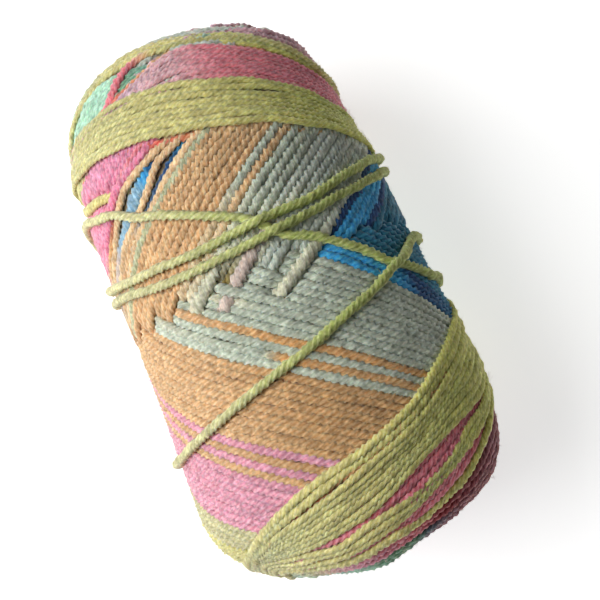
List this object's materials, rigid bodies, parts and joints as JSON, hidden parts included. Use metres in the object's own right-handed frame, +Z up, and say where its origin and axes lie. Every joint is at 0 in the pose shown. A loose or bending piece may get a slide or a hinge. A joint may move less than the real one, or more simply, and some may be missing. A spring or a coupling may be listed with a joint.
{
  "type": "skein of wool yarn",
  "caption": "Barrel-shaped skein of multicoloured wool yarn, cross-wound with a plaited waist, broad outer bands and loose outer turns, lying on its side.",
  "frame": {"origin": "under the middle of the skein, on the surface it rests on", "axes": "+Y along the winding axis towards the slimmer end, +Z up"},
  "size_m": [0.0892, 0.1594, 0.088],
  "materials": {
    "wool": "soft plied wool, dyed in long runs of lime, peach, grey, blue and pink"
  },
  "bodies": {
    "root": {"wound_skein": "wool"}
  },
  "joints": []
}
